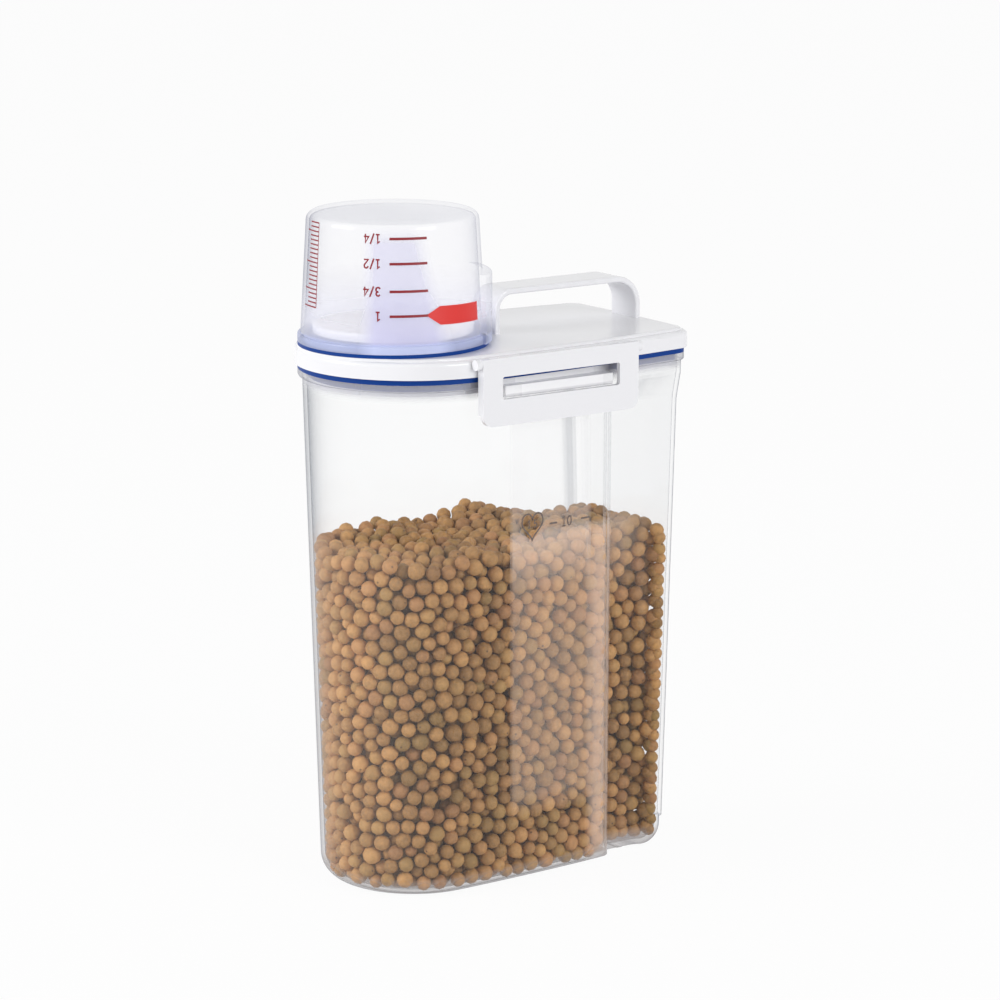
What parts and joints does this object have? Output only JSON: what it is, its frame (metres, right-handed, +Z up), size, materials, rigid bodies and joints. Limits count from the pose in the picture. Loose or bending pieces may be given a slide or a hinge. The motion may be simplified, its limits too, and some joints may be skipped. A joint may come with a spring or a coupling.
{
  "type": "pet food storage bin",
  "caption": "Tall clear bin with a rounded nose and grip recesses, sealed lid with side latches and carry handle, and a measuring cup capping its pouring neck.",
  "frame": {"origin": "on the floor, at the middle of the closed bin's length and width", "axes": "+X from the rounded pouring nose to the flat back, +Y across from the near side in the picture to the far side, +Z up"},
  "size_m": [0.1724, 0.1126, 0.2988],
  "materials": {
    "clear_body": "clear",
    "white_plastic": "satin",
    "blue_silicone": "satin",
    "clear_cup": "clear"
  },
  "bodies": {
    "bin": {"bin_body": "clear_body"},
    "lid_unit": {"lid": "white_plastic", "carry_handle": "white_plastic", "lid_seal": "blue_silicone", "neck_seal": "blue_silicone"},
    "latch_near": {"near_latch": "white_plastic"},
    "latch_far": {"far_latch": "white_plastic"},
    "cup": {"measuring_cup": "clear_cup"}
  },
  "joints": [
    {"name": "lid_lift", "type": "slide", "parent": "bin", "child": "lid_unit", "axis": [0, 0, 1], "range_m": [0, 0.03]},
    {"name": "near_latch_hinge", "type": "hinge", "parent": "lid_unit", "child": "latch_near", "pos_m": [0.0045, -0.0537, 0.2381], "axis": [-1, 0, 0], "range_deg": [0, 98]},
    {"name": "far_latch_hinge", "type": "hinge", "parent": "lid_unit", "child": "latch_far", "pos_m": [0.0045, 0.0537, 0.2381], "axis": [1, 0, 0], "range_deg": [0, 98]},
    {"name": "cup_lift", "type": "slide", "parent": "lid_unit", "child": "cup", "axis": [0, 0, 1], "range_m": [0, 0.06]}
  ],
  "couplings": [
    {"joint": "near_latch_hinge", "follows": "lid_lift", "rad_per_m": 57.01},
    {"joint": "far_latch_hinge", "follows": "lid_lift", "rad_per_m": 57.01}
  ]
}
